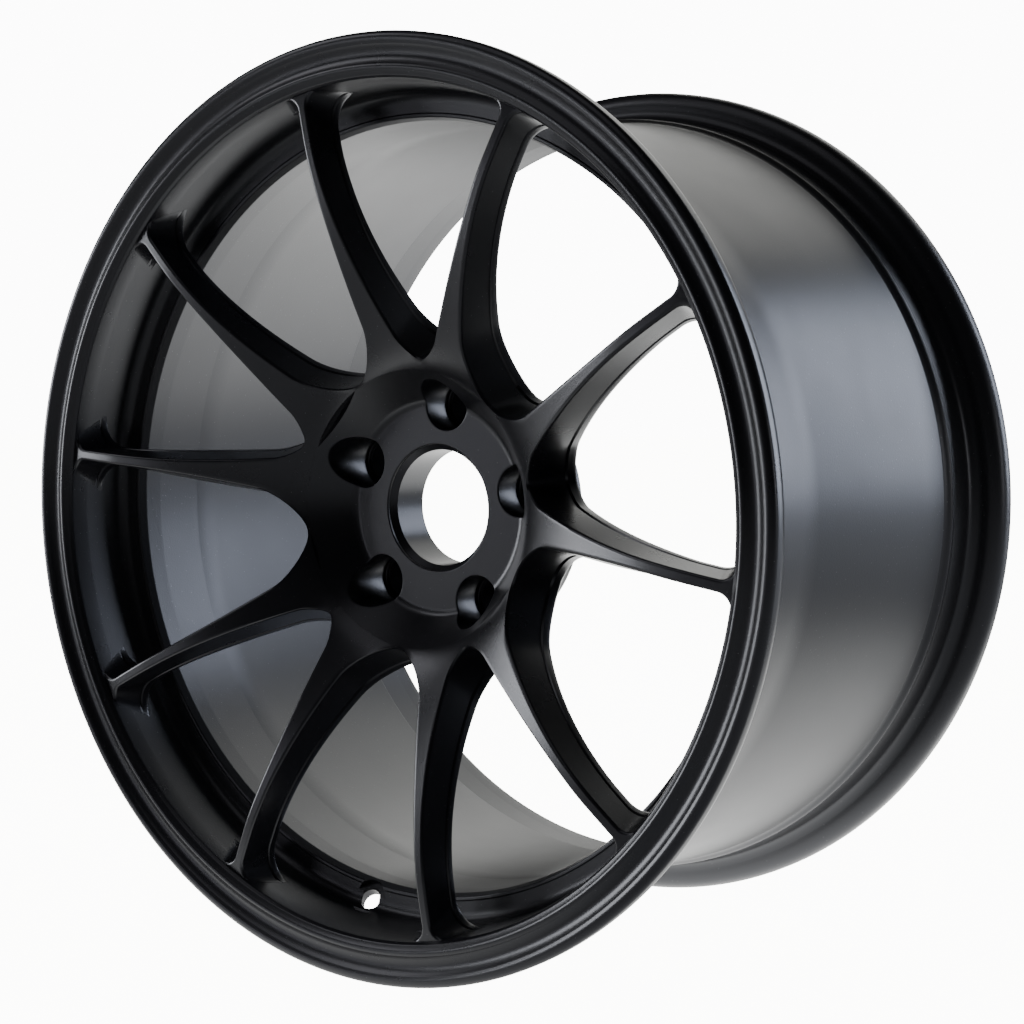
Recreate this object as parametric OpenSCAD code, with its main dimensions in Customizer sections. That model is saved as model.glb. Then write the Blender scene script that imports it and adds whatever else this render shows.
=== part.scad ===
// One-piece forged racing wheel, five pairs of spokes.
// Everything is modelled lying face up: x to the right and y up as seen from the front,
// z out of the face. The last step stands it on its tread, with its spin axis along Y and
// its face toward -Y. The origin is the middle of the mounting pad at the back of the hub.

/* [Rim] */
// Diameter of the bead seats where they meet the flanges
rim_d = 462; // [431.8:0.1:560]
// Width between the two bead faces
rim_w = 241.3; // [190:0.1:305]
// How far the mounting pad lies in front of the middle of the rim
inset = 35; // [15:1:55]
// Height of a flange above the bead seat
flange_h = 17.9; // [14:0.1:20]
// Thickness of a flange, from bead face to outer face
flange_t = 16; // [12:0.5:18]
// Radius of the rounded tip of a flange
flange_tip_r = 3.7; // [2.5:0.1:4.5]
// Width of a bead seat
seat_w = 19; // [16:0.5:22]
// Taper of a bead seat, in degrees
seat_taper = 5; // [3:0.5:7]
// Height of the hump above the end of its bead seat
hump_h = 1.2; // [0.6:0.1:2]
// Depth of the drop centre below the bead seat
well_depth = 17; // [14:0.5:22]
// Width of the flat of the drop centre
well_w = 34; // [20:1:50]
// Wall of the barrel
wall = 4.6; // [3.5:0.1:7]

/* [Face] */
// Width of the cove between the flange and the lip ring
cove_w = 9.8; // [6:0.1:14]
// Depth of that cove
cove_depth = 2.2; // [1:0.1:3.5]
// Width of the raised lip ring
lip_w = 4.1; // [3:0.1:7]
// How far the spokes start below the top of the lip ring
step_h = 5.1; // [3:0.1:9]
// Depth of the pockets between the spokes, from spoke face to ledge
pocket_depth = 36; // [28:0.5:44]
// Width of the ledge at the bottom of the pockets
ledge_w = 12; // [8:0.5:16]
// Diameter of the valve hole
valve_d = 11.5; // [8.3:0.1:15.7]
// Diameter of the spot face round the valve hole
valve_spot_d = 20; // [17:0.5:24]

/* [Spokes] */
// Pairs of spokes, which is the number of wheel studs too
pairs = 5; // [4:1:6]
// Width of a spoke's face at its waist
waist_w = 5.8; // [4:0.1:12]
// Width of a spoke's face at its root
root_w = 25; // [18:0.5:30]
// Width of a spoke's back at its waist
back_waist_w = 11.2; // [7:0.1:18]
// Width of a spoke's back at its root
back_root_w = 33.6; // [24:0.5:38]
// Depth of a spoke at the rim, from face to back
spoke_depth = 21; // [14:0.5:28]
// How far a spoke's centre line passes beside the axis
lean = 10.1; // [4:0.1:14]
// Radius of the flare where a spoke's face meets the rim
flare_r = 8; // [4:0.5:14]
// Radius of the flare where a spoke's back meets the rim
back_flare_r = 18; // [6:0.5:20]

/* [Hub] */
// Centre bore
bore_d = 64.1; // [54.1:0.1:72.6]
// Recess for a centre cap in front of the bore
cap_d = 70.2; // [66:0.1:78]
// Depth of that recess
cap_depth = 4.8; // [2:0.1:8]
// Chamfer at the back of the bore
bore_chamfer = 5.5; // [2:0.5:7]
// Pitch circle of the wheel studs
pcd = 114.3; // [98:0.1:120.7]
// Stud holes
stud_d = 14.6; // [13:0.1:16]
// Pockets for the wheel nuts
nut_d = 28; // [24:0.5:32]
// Metal between the mounting pad and the floor of a nut pocket
seat_t = 13.4; // [11:0.1:18]
// Cone of a nut seat, whole angle in degrees
seat_cone = 60; // [60:10:90]
// Radius of the flat face of the hub
face_r = 55.8; // [50:0.1:60]
// Thickness of the hub, from mounting pad to flat face
hub_t = 32.7; // [26:0.1:40]
// Radius of the mounting pad, where the spoke roots begin
pad_r = 76; // [72:0.5:84]

/* [Hidden] */
$fn = 96;

satin_black = [0.07, 0.07, 0.08];
barrel_black = [0.10, 0.10, 0.12];
hub_black = [0.09, 0.09, 0.10];

// Angle of the first pair's middle, seen from the front
turn = 11;
pitch = 360 / pairs;

// Heights along the axis, zero at the mounting pad
front_face_z = rim_w / 2 - inset;      // front bead face
rear_face_z = -rim_w / 2 - inset;      // rear bead face
front_z = front_face_z + flange_t;
rear_z = rear_face_z - flange_t;

// Radii of the rim
seat_r = rim_d / 2;
tip_r = seat_r + flange_h;
curl_r = 9.5;                          // inside curve of a flange
root_r = 6.5;                          // fillet between bead seat and flange
well_r = seat_r - well_depth;
seat_end_r = seat_r - seat_w * tan(seat_taper);
hump_r = seat_end_r + hump_h;
hump_w = 5;
bore_wall_r = seat_r - 5;              // inside of the rear bead seat

// Face of the rim, from the flange inwards
cove_out_r = tip_r - flange_tip_r - 2.6;
cove_in_r = cove_out_r - cove_w;
lip_in_r = cove_in_r - lip_w;
spoke_end_r = lip_in_r - 3.4;
cove_out_z = front_z - 0.9;
cove_in_z = front_z - 2.6;
lip_top = 1;                           // crown of the lip ring
spoke_face_z = cove_in_z + lip_top - step_h;
ledge_z = spoke_face_z - pocket_depth;
draft = 2.6;                           // how much the pocket wall leans in
wall_end_r = spoke_end_r - draft;
ledge_in_r = wall_end_r - ledge_w;
ledge_drop = 1.5;                      // fall of the ledge toward its inner edge
throat_r = ledge_in_r - 2.5;           // inside of the drop centre

// Heights of the zones of the rim
front_seat_z = front_face_z - seat_w + 1.3;
ledge_fillet = min(6, 0.67 * (front_seat_z - ledge_z)); // limited by the wall above the ledge
slope_end_z = ledge_z - 15.3;           // the slope clears the ledge whatever the pocket's depth
well_end_z = slope_end_z - well_w;
rear_seat_z = rear_face_z + seat_w;
rear_hump_z = rear_seat_z + hump_w + 3;
slope_r0 = well_r + 1.5;               // foot of the slope behind the front bead
slope_z0 = slope_end_z + 6;
slope_r1 = hump_r - 2;                 // its top, at the foot of the hump
slope_z1 = front_seat_z - hump_w - 1;
valve_spot_depth = 14;
barrel_end_r = seat_end_r - 2.6;       // outside of the barrel where the rear hump begins
rear_round = 7;                        // round at the mouth of the barrel

// Hub
bore_r = bore_d / 2;
cap_r = cap_d / 2;
centre_r = pcd / 2 - nut_d / 2 - 3;    // outside of the hub centre, short of the nut pockets
stud_r = pcd / 2;
crest = 1.1;                           // how far a spoke's crest stands above its outer end
dish_slope = 51;                       // slope of the dish wall, in degrees
dish_fillet = 6;
root_z = hub_t + dish_rise(pad_r);     // spoke face where it leaves the hub
root_back_z = 13;                      // spoke back where it leaves the hub
bite = 0.02;                           // how far a spoke's end reaches into the rim
chamfer = 2;

function lerp(a, b, t) = a + (b - a) * t;
// Points of an arc round c, from angle a0 to a1
function arc(c, r, a0, a1, n = 8) =
    [for (i = [0:n]) let (a = lerp(a0, a1, i / n)) [c[0] + r * cos(a), c[1] + r * sin(a)]];
// Height of the dish wall above the flat face of the hub at radius r
function dish_rise(r) =
    let (x = r - face_r, bend = dish_fillet * sin(dish_slope))
    x < bend ? dish_fillet - sqrt(dish_fillet * dish_fillet - x * x)
             : dish_fillet * (1 - cos(dish_slope)) + (x - bend) * tan(dish_slope);

// Radius of the pocket wall at height z
function pocket_wall_r(z) = lerp(spoke_end_r, wall_end_r, (spoke_face_z - z) / pocket_depth);

// Share of the way from spoke root to rim
function share(r) = (r - pad_r) / (spoke_end_r - pad_r);
// The face of a spoke rises steeply out of the dish to a crest near the rim, then falls a little
function face_z(r) =
    let (t = max(0, share(r)), s = max(0, 1 - t / 0.8), fall = max(0, t - 0.8) / 0.2)
    lerp(root_z, spoke_face_z + crest, 1 - 0.93 * pow(s, 1.7) - 0.07 * exp(-t / 0.04))
    - crest * fall * fall;
// The back rises more slowly and is level over its last fifth
function back_z(r) =
    let (s = max(0, 1 - max(0, share(r)) / 0.8))
    lerp(root_back_z, spoke_face_z - spoke_depth, 1 - pow(s, 2.2));
// Half the width of a spoke at its face and at its back
function face_half(r) = let (s = max(0, 1 - share(r) / 0.7))
    lerp(waist_w, root_w, pow(s, 1.95)) / 2;
function back_half(r) = let (s = max(0, 1 - share(r) / 0.8))
    lerp(back_waist_w, back_root_w, pow(s, 1.2)) / 2;
// Angle of a spoke's centre line from the middle of its pair: a straight line that passes
// the axis at the lean and meets the rim a quarter of the pitch out
function spoke_angle(r) = pitch / 4 + asin(lean / spoke_end_r) - asin(lean / r);

// Half angle of a window at radius r, for a half width w of the spokes beside it
function narrow_half(r, w) = spoke_angle(r) - asin(w / r);
function wide_half(r, w) = pitch / 2 - spoke_angle(r) - asin(w / r);

// One edge of a spoke, as [radius, angle from the middle of the pair] from root to rim: along
// the plane where it meets its neighbour, round the nose of a window, along the spoke, and out
// in a flare to the rim. It is the edge of the face or of the back, toward a narrow window or
// toward a wide one.
function spoke_edge(wide, back) =
    let (
        tip = pad_r + (wide ? (back ? 12 : 1.2) : (back ? 20 : 6)),
        nose = wide ? (back ? 26 : 24) : (back ? 16 : 12),
        rim = bite + (back ? pocket_wall_r(spoke_face_z - spoke_depth) : spoke_end_r),
        flare = back ? back_flare_r : flare_r,
        half = function (r) let (w = back ? back_half(r) : face_half(r))
            wide ? wide_half(r, w) : narrow_half(r, w),
        path = concat(
            [[pad_r - 6, 0], [tip, 0]],
            [for (i = [1:6]) let (a = i * 15, r = tip + nose * (1 - cos(a))) [r, half(r) * sin(a)]],
            [for (i = [1:6]) let (r = lerp(tip + nose, rim - flare, i / 6)) [r, half(r)]],
            [for (i = [1:5]) let (a = i * 18, r = rim - flare + flare * sin(a))
                [r, half(r) - flare * (1 - cos(a)) / r * 180 / PI]]))
    [for (p = path) [p[0], wide ? pitch / 2 - p[1] : p[1]]];

// The spoke beside the x axis, between the middle of its pair and the middle of the gap: its
// face and its back lie on surfaces turned about the axis, and straight sides join them
module one_spoke() {
    across = 3;
    ring = 2 * across + 2;
    narrow_face = spoke_edge(false, false);
    wide_face = spoke_edge(true, false);
    narrow_back = spoke_edge(false, true);
    wide_back = spoke_edge(true, true);
    last = len(narrow_face) - 1;
    points = [for (i = [0:last]) each concat(
        [for (j = [0:across]) let (p = lerp(narrow_face[i], wide_face[i], j / across))
            [p[0] * cos(p[1]), p[0] * sin(p[1]), face_z(p[0])]],
        [for (j = [across:-1:0]) let (p = lerp(narrow_back[i], wide_back[i], j / across))
            [p[0] * cos(p[1]), p[0] * sin(p[1]), back_z(p[0])]])];
    sides = [for (i = [0:last - 1], j = [0:ring - 1])
        let (a = i * ring + j, b = i * ring + (j + 1) % ring)
        each [[a, b, b + ring], [a, b + ring, a + ring]]];
    ends = [for (j = [0:across - 1]) let (a = j, b = j + 1, c = ring - 2 - j, d = ring - 1 - j)
        each [[b, a, d], [b, d, c], [last * ring + a, last * ring + b, last * ring + c],
              [last * ring + a, last * ring + c, last * ring + d]]];
    difference() {
        polyhedron(points = points, faces = concat(sides, ends), convexity = 6);
        cylinder(r = pad_r, h = 2 * spoke_face_z, center = true);
    }
}

// Spoke number i: the spokes of a pair mirror each other
module spoke(i) {
    color(satin_black)
    rotate(turn + floor(i / 2) * pitch) mirror([0, i % 2, 0]) one_spoke();
}

module hub_centre() {
    color(hub_black)
    rotate_extrude() polygon([
        [bore_r, bore_chamfer], [bore_r + bore_chamfer, 0], [centre_r, 0],
        [centre_r, hub_t], [cap_r, hub_t], [cap_r, hub_t - cap_depth + (cap_r - bore_r)],
        [bore_r, hub_t - cap_depth]]);
}

// Everything round the hub centre, with the nut pockets and their cone seats
module hub_disc() {
    cone_r = nut_d / 2 - 2.5;
    cone_h = (cone_r - stud_d / 2) / tan(seat_cone / 2);
    color(hub_black)
    difference() {
        rotate_extrude() polygon(concat(
            [[centre_r, 0], [pad_r - chamfer, 0], [pad_r, chamfer], [pad_r, root_z]],
            [for (i = [10:-1:0]) let (r = lerp(face_r, pad_r, i / 10)) [r, hub_t + dish_rise(r)]],
            [[centre_r, hub_t]]));
        for (i = [0:pairs - 1]) rotate(turn + i * pitch) translate([stud_r, 0, 0]) {
            translate([0, 0, -1]) cylinder(d = stud_d, h = hub_t);
            translate([0, 0, seat_t - cone_h]) cylinder(r1 = stud_d / 2, r2 = cone_r, h = cone_h);
            translate([0, 0, seat_t]) cylinder(d = nut_d, h = hub_t + 20);
        }
    }
}

module lip_ring() {
    crown_r = (cove_in_r + lip_in_r) / 2;
    color(satin_black)
    rotate_extrude() polygon(concat(
        [[pocket_wall_r(front_face_z), front_face_z], [cove_in_r, front_face_z]],
        [for (i = [0:8]) let (s = i / 8) [lerp(cove_in_r, lip_in_r, s),
            cove_in_z + lip_top * 4 * s * (1 - s)]],
        [[lerp(lip_in_r, spoke_end_r, 0.6), cove_in_z - 1.3], [spoke_end_r + 0.4, cove_in_z - 2.8],
         [spoke_end_r, spoke_face_z]]));
}

// Section of a flange outside the cove, from its bead face at z = 0 outwards
function flange_curl() = concat(
    arc([tip_r - curl_r, curl_r], curl_r, -90, 0, 8),
    arc([tip_r - flange_tip_r, flange_t - flange_tip_r], flange_tip_r, 0, 90, 8));

module front_flange() {
    sag = cove_depth;
    color(satin_black)
    rotate_extrude() translate([0, front_face_z]) polygon(concat(
        [[cove_in_r, 0]],
        flange_curl(),
        [for (i = [0:10]) let (s = i / 10) [lerp(cove_out_r, cove_in_r, s),
            lerp(cove_out_z, cove_in_z, s) - front_face_z - sag * 4 * s * (1 - s)]]));
}

module front_bead_seat() {
    z0 = front_face_z;
    z1 = front_seat_z;
    color(satin_black)
    rotate_extrude() polygon(concat(
        [[pocket_wall_r(z1), z1]],
        [[seat_r - (z0 - z1) * tan(seat_taper), z1]],
        arc([seat_r + root_r, z0 - root_r], root_r, 180, 90, 6),
        [[pocket_wall_r(z0), z0]]));
}

// Pocket wall, ledge and throat inside, well, slope and hump outside, and the valve hole
module drop_centre() {
    z1 = front_seat_z;
    seat_here = seat_r - (front_face_z - z1) * tan(seat_taper);
    color(satin_black)
    difference() {
        rotate_extrude() polygon(concat(
            [[pocket_wall_r(z1), z1]],
            arc([wall_end_r - ledge_fillet, ledge_z + ledge_fillet], ledge_fillet, 0, -80, 6),
            [[ledge_in_r, ledge_z - ledge_drop]],
            [[throat_r + 0.5, ledge_z - ledge_drop - 1.5], [throat_r, ledge_z - ledge_drop - 4]],
            [[throat_r, slope_end_z - 2], [well_r - wall, well_end_z]],
            [[well_r, well_end_z], [well_r, slope_end_z + 3], [slope_r0, slope_z0], [slope_r1, slope_z1]],
            [for (i = [0:6]) let (s = i / 6) [lerp(hump_r - 1.2, seat_here, s) + hump_h * sin(180 * s),
                lerp(slope_z1 + 1, z1, s)]]));
        valve_cut();
    }
}

// The valve hole runs square to the slope behind the front bead, in the middle of a window
module valve_cut() {
    slope = atan2(slope_z1 - slope_z0, slope_r1 - slope_r0);
    rotate(turn + 3.5 * pitch) translate([ledge_in_r + 7, 0, ledge_z + 1]) rotate([0, 180 - slope, 0]) {
        cylinder(d = valve_d, h = 40);
        translate([0, 0, -valve_spot_depth]) cylinder(d = valve_spot_d, h = valve_spot_depth);
    }
}

module barrel() {
    color(barrel_black)
    rotate_extrude() polygon([
        [well_r - wall, well_end_z], [well_r, well_end_z],
        [barrel_end_r, rear_hump_z], [barrel_end_r - wall, rear_hump_z]]);
}

module rear_hump() {
    steps = 8;
    color(barrel_black)
    rotate_extrude() polygon(concat(
        [[barrel_end_r - wall, rear_hump_z], [barrel_end_r, rear_hump_z]],
        [for (i = [1:steps]) let (s = i / steps) [
            lerp(barrel_end_r, seat_end_r, s) + hump_h * pow(sin(180 * pow(s, 1.6)), 1.3),
            lerp(rear_hump_z, rear_seat_z, s)]],
        [[bore_wall_r - 0.6, rear_seat_z], [bore_wall_r - 2, rear_seat_z + 2]]));
}

module rear_bead_seat() {
    color(barrel_black)
    rotate_extrude() polygon(concat(
        [[bore_wall_r - 0.6, rear_seat_z], [seat_end_r, rear_seat_z]],
        arc([seat_r + root_r, rear_face_z + root_r], root_r, 180, 270, 6),
        [[bore_wall_r, rear_face_z]]));
}

module rear_flange() {
    out = rear_z;
    color(barrel_black)
    rotate_extrude() polygon(concat(
        [[bore_wall_r, rear_face_z]],
        [for (p = flange_curl()) [p[0], rear_face_z - p[1]]],
        arc([bore_wall_r + rear_round, out + rear_round], rear_round, 270, 180, 6)));
}

module upright() {
    rotate([90, 0, 0]) children();
}

upright() hub_centre();
upright() hub_disc();
upright() lip_ring();
upright() front_flange();
upright() front_bead_seat();
upright() drop_centre();
upright() barrel();
upright() rear_hump();
upright() rear_bead_seat();
upright() rear_flange();
upright() spoke(0);  // spoke_01
upright() spoke(1);  // spoke_02
upright() spoke(2);  // spoke_03
upright() spoke(3);  // spoke_04
upright() spoke(4);  // spoke_05
upright() spoke(5);  // spoke_06
upright() spoke(6);  // spoke_07
upright() spoke(7);  // spoke_08
upright() spoke(8);  // spoke_09
upright() spoke(9);  // spoke_10
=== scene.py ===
"""A one-piece forged racing wheel with five pairs of spokes, finished in satin black.

The wheel is worked out in millimetres in the maker's own coordinates: radius r from the spin
axis, angle t in degrees seen from the front, and height h toward the front above the mounting
pad. A point (r, t, h) stands in the frame at x = r cos t, y = -h, z = r sin t.
"""

import logging
import math
from dataclasses import dataclass, field
from enum import Enum

import bpy
import numpy as np
from mathutils import Matrix, Vector


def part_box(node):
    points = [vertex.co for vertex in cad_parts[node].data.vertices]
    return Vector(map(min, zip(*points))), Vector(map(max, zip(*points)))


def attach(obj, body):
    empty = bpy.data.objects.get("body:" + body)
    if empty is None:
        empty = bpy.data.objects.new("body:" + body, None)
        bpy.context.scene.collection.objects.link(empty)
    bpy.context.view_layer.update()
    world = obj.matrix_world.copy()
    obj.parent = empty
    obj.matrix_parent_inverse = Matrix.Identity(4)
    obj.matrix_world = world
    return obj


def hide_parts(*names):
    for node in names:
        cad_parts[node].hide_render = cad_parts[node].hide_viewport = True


MM = 0.001
TURN = 11.0  # degrees from +X to the middle of the first pair of spokes
PAIRS = 5
PITCH = 360.0 / PAIRS
ROUND_STEPS = 6
SUPPORT = 0.25  # how far past an arc its extra point stands, as a share of the arc's radius
SUPPORT_ROOM = 3  # the extra point needs this many times that distance of straight leg
CREASE = 32.0  # degrees past which an edge stays sharp
WELD = 1e-6

Values = float | np.ndarray
Colour = tuple[float, float, float]
Corner = tuple[float, float, float]

log = logging.getLogger("wheel")
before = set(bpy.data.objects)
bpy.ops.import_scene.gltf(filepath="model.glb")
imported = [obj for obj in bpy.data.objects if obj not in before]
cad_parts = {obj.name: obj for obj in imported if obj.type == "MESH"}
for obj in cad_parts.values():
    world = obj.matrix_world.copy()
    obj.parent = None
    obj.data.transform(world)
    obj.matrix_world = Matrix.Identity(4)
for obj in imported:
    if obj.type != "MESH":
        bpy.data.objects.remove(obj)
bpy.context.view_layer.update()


class Slot(Enum):
    """Material slots of the record."""

    FACE = "face_finish"
    BARREL = "barrel_finish"
    HUB = "hub_finish"


class Window(Enum):
    """The two windows that a spoke stands between."""

    NARROW = "inside a pair"
    WIDE = "between two pairs"


class Level(Enum):
    """The two levels at which a spoke is measured."""

    FACE = "at the spoke's face"
    BACK = "at the spoke's back"


def lerp(a: Values, b: Values, share: Values) -> Values:
    """The value at a share of the way from a to b."""
    return a + (b - a) * share


def shares(steps: int) -> np.ndarray:
    """Even shares from nought to one, as a column."""
    return np.linspace(0, 1, steps + 1)[:, None]


def stand(r: np.ndarray, t: np.ndarray, h: np.ndarray) -> np.ndarray:
    """Points of the frame, in metres, from radius, angle in degrees and height in millimetres."""
    a = np.radians(t)
    return np.stack([r * np.cos(a), -np.broadcast_to(h, np.shape(r * a)), r * np.sin(a)], -1) * MM


def direction(azimuth: float, elevation: float) -> Vector:
    """A unit vector that turns from the wheel's front toward +X and then rises, in degrees."""
    a, e = math.radians(azimuth), math.radians(elevation)
    return Vector((math.sin(a) * math.cos(e), -math.cos(a) * math.cos(e), math.sin(e)))


def grid_faces(rows: int, columns: int, close_rows: bool, close_columns: bool) -> np.ndarray:
    """Quads between the points of a grid stored row by row.

    Args:
        rows: number of rows of points.
        columns: number of points in a row.
        close_rows: whether the last row joins the first.
        close_columns: whether the last point of a row joins its first.

    Returns:
        An array of shape (quads, 4).
    """
    i = np.arange(rows if close_rows else rows - 1)[:, None]
    j = np.arange(columns if close_columns else columns - 1)[None, :]
    i2, j2 = (i + 1) % rows, (j + 1) % columns
    quads = [i * columns + j, i2 * columns + j, i2 * columns + j2, i * columns + j2]
    return np.stack([np.broadcast_to(q, (len(i), j.shape[1])) for q in quads], -1).reshape(-1, 4)


def merged(points: np.ndarray, faces: np.ndarray) -> tuple[np.ndarray, np.ndarray]:
    """Joins points in the same place, to a micrometre, and drops quads that shrink to a line.

    Args:
        points: array of shape (points, 3), in metres.
        faces: array of shape (quads, 4).

    Returns:
        The points that are left and the quads, in which a triangle repeats a corner.
    """
    _, first, same = np.unique(np.round(points / WELD), axis=0, return_index=True, return_inverse=True)
    faces = same.reshape(-1)[faces]
    changes = np.diff(np.sort(faces, axis=1), axis=1) != 0
    return points[first], faces[changes.sum(1) > 1]


def volume(points: np.ndarray, faces: np.ndarray) -> float:
    """Signed volume of a closed mesh of quads: a sixth of the sum of a . (b x c) over triangles.

    Args:
        points: array of shape (points, 3).
        faces: array of shape (quads, 4).

    Returns:
        The volume, above nought when the faces point outward.
    """
    a, b, c, d = (points[faces[:, k]] for k in range(4))
    both = np.einsum("ij,ij->i", a, np.cross(b, c)) + np.einsum("ij,ij->i", a, np.cross(c, d))
    return float(both.sum() / 6)


def closed_mesh(name: str, points: np.ndarray, faces: np.ndarray,
                caps: tuple[list[int], ...] = ()) -> bpy.types.Mesh:
    """A closed mesh with its faces outward. A quad that repeats a corner becomes a triangle.

    Args:
        name: the mesh's name.
        points: array of shape (points, 3), in metres.
        faces: array of shape (quads, 4).
        caps: outlines of points that close the open ends.

    Returns:
        The mesh.
    """
    quads = [[p for k, p in enumerate(f) if p != f[k - 1]] for f in faces.tolist()]
    mesh = bpy.data.meshes.new(name)
    mesh.from_pydata(points.tolist(), [], quads + list(caps))
    if volume(points, faces) < 0:
        mesh.flip_normals()
    mesh.validate()
    return mesh


def shade(mesh: bpy.types.Mesh) -> None:
    """Shades a mesh smooth, apart from its sharp edges."""
    mesh.shade_smooth()
    mesh.set_sharp_from_angle(angle=math.radians(CREASE))


def rounded(corners: list[Corner], steps: int = ROUND_STEPS) -> np.ndarray:
    """A line through corners, each rounded by an arc that touches both of its legs.

    In a corner of angle 2 a, an arc of radius f touches the legs at f / tan a from the corner.
    Where a leg has room, an extra point just past the arc keeps its shading flat.

    Args:
        corners: (radius, height, round) of each corner. A round of zero keeps the corner.
        steps: number of chords in each arc.

    Returns:
        An array of shape (points, 2) of radius and height.
    """
    spots = [np.array(c[:2]) for c in corners]
    legs = [float(np.linalg.norm(b - a)) for a, b in zip(spots, spots[1:])]
    turns, reaches = [0.0] * len(corners), [0.0] * len(corners)
    for k in range(1, len(corners) - 1):
        u = (spots[k - 1] - spots[k]) / legs[k - 1]
        v = (spots[k + 1] - spots[k]) / legs[k]
        turns[k] = math.acos(float(np.clip(u @ v, -1, 1))) / 2
        reaches[k] = corners[k][2] / math.tan(turns[k])
    out = []
    for k, (p, (_, _, fillet)) in enumerate(zip(spots, corners)):
        if reaches[k] <= 0:
            out.append(p)
            continue
        u = (spots[k - 1] - p) / legs[k - 1]
        v = (spots[k + 1] - p) / legs[k]
        centre = p + (u + v) / np.linalg.norm(u + v) * fillet / math.sin(turns[k])
        a, b = p + u * reaches[k] - centre, p + v * reaches[k] - centre
        sweep = math.pi - 2 * turns[k]
        past = SUPPORT * fillet
        if legs[k - 1] - reaches[k - 1] - reaches[k] > SUPPORT_ROOM * past:
            out.append(p + u * (reaches[k] + past))
        for s in np.linspace(0, 1, steps + 1):
            out.append(centre + (math.sin((1 - s) * sweep) * a + math.sin(s * sweep) * b) / math.sin(sweep))
        if legs[k] - reaches[k] - reaches[k + 1] > SUPPORT_ROOM * past:
            out.append(p + v * (reaches[k] + past))
    return np.array(out)


def arc(r: float, h: float, radius: float, start: float, end: float, steps: int = 14) -> np.ndarray:
    """Points of a circle's arc in the plane of radius and height, from start to end degrees."""
    a = np.radians(np.linspace(start, end, steps + 1))
    return np.stack([r + radius * np.cos(a), h + radius * np.sin(a)], -1)


def add_node(tree: bpy.types.NodeTree, kind: str, sockets: dict[str | int, object],
             **settings: str) -> bpy.types.Node:
    """Adds a node to a material or a world.

    Args:
        tree: the node tree.
        kind: the node's type.
        sockets: values of its input sockets, by name or number.
        settings: values of its own properties, which are set first.

    Returns:
        The node.
    """
    node = tree.nodes.new(kind)
    for name, value in settings.items():
        setattr(node, name, value)
    for socket, value in sockets.items():
        node.inputs[socket].default_value = value
    return node


@dataclass(frozen=True)
class Finish:
    """A powder coat: a dark even colour, a fine grain and a few tiny pale specks.

    Scales are cells to the metre, and the grain's depth is in metres.
    """

    name: str
    colour: Colour
    roughness: float
    grain: float
    specks: float
    refraction: float = 1.52
    tint: Colour = (0.92, 0.94, 1.0)
    cloud_scale: float = 38.0
    cloud_detail: float = 3.0
    cloud_spread: float = 0.025
    speck_scale: float = 260.0
    speck_core: float = 0.05
    speck_edge: float = 0.085
    speck_colour: Colour = (0.30, 0.30, 0.32)
    grain_scale: float = 1150.0
    grain_detail: float = 2.0
    grain_depth: float = 0.00025

    def material(self) -> bpy.types.Material:
        """The coat as a material whose patterns read Object coordinates.

        Returns:
            The new material.
        """
        made = bpy.data.materials.new(self.name)
        made.use_nodes = True
        shader = made.node_tree.nodes["Principled BSDF"]
        shader.inputs["Metallic"].default_value = 0.0
        shader.inputs["IOR"].default_value = self.refraction
        shader.inputs["Specular Tint"].default_value = (*self.tint, 1.0)
        place = add_node(made.node_tree, "ShaderNodeTexCoord", {}).outputs["Object"]
        self.cloud(made.node_tree, place, shader.inputs["Roughness"])
        self.dust(made.node_tree, place, shader.inputs["Base Color"])
        self.texture(made.node_tree, place, shader.inputs["Normal"])
        return made

    def cloud(self, tree: bpy.types.NodeTree, place: bpy.types.NodeSocket,
              into: bpy.types.NodeSocket) -> None:
        """Soft clouds that move the roughness a little up and down.

        Args:
            tree: the material's nodes.
            place: the coordinates.
            into: the shader's roughness.
        """
        cloud = add_node(tree, "ShaderNodeTexNoise", {"Scale": self.cloud_scale, "Detail": self.cloud_detail})
        sheen = add_node(tree, "ShaderNodeMapRange", {
            "To Min": self.roughness - self.cloud_spread, "To Max": self.roughness + self.cloud_spread})
        tree.links.new(place, cloud.inputs["Vector"])
        tree.links.new(cloud.outputs["Fac"], sheen.inputs["Value"])
        tree.links.new(sheen.outputs["Result"], into)

    def dust(self, tree: bpy.types.NodeTree, place: bpy.types.NodeSocket,
             into: bpy.types.NodeSocket) -> None:
        """Tiny pale specks, one in the middle of each cell of a pattern.

        Args:
            tree: the material's nodes.
            place: the coordinates.
            into: the shader's colour.
        """
        dust = add_node(tree, "ShaderNodeTexVoronoi", {"Scale": self.speck_scale})
        speck = add_node(tree, "ShaderNodeMapRange", {
            "From Min": self.speck_core, "From Max": self.speck_edge, "To Min": self.specks, "To Max": 0.0})
        colour = add_node(tree, "ShaderNodeMix", {
            "A": (*self.colour, 1.0), "B": (*self.speck_colour, 1.0)}, data_type="RGBA")
        tree.links.new(place, dust.inputs["Vector"])
        tree.links.new(dust.outputs["Distance"], speck.inputs["Value"])
        tree.links.new(speck.outputs["Result"], colour.inputs["Factor"])
        tree.links.new(colour.outputs["Result"], into)

    def texture(self, tree: bpy.types.NodeTree, place: bpy.types.NodeSocket,
                into: bpy.types.NodeSocket) -> None:
        """The fine grain of powder, as bumps.

        Args:
            tree: the material's nodes.
            place: the coordinates.
            into: the shader's normal.
        """
        grain = add_node(tree, "ShaderNodeTexNoise", {"Scale": self.grain_scale, "Detail": self.grain_detail})
        bump = add_node(tree, "ShaderNodeBump", {"Strength": self.grain, "Distance": self.grain_depth})
        tree.links.new(place, grain.inputs["Vector"])
        tree.links.new(grain.outputs["Fac"], bump.inputs["Height"])
        tree.links.new(bump.outputs["Normal"], into)


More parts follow.
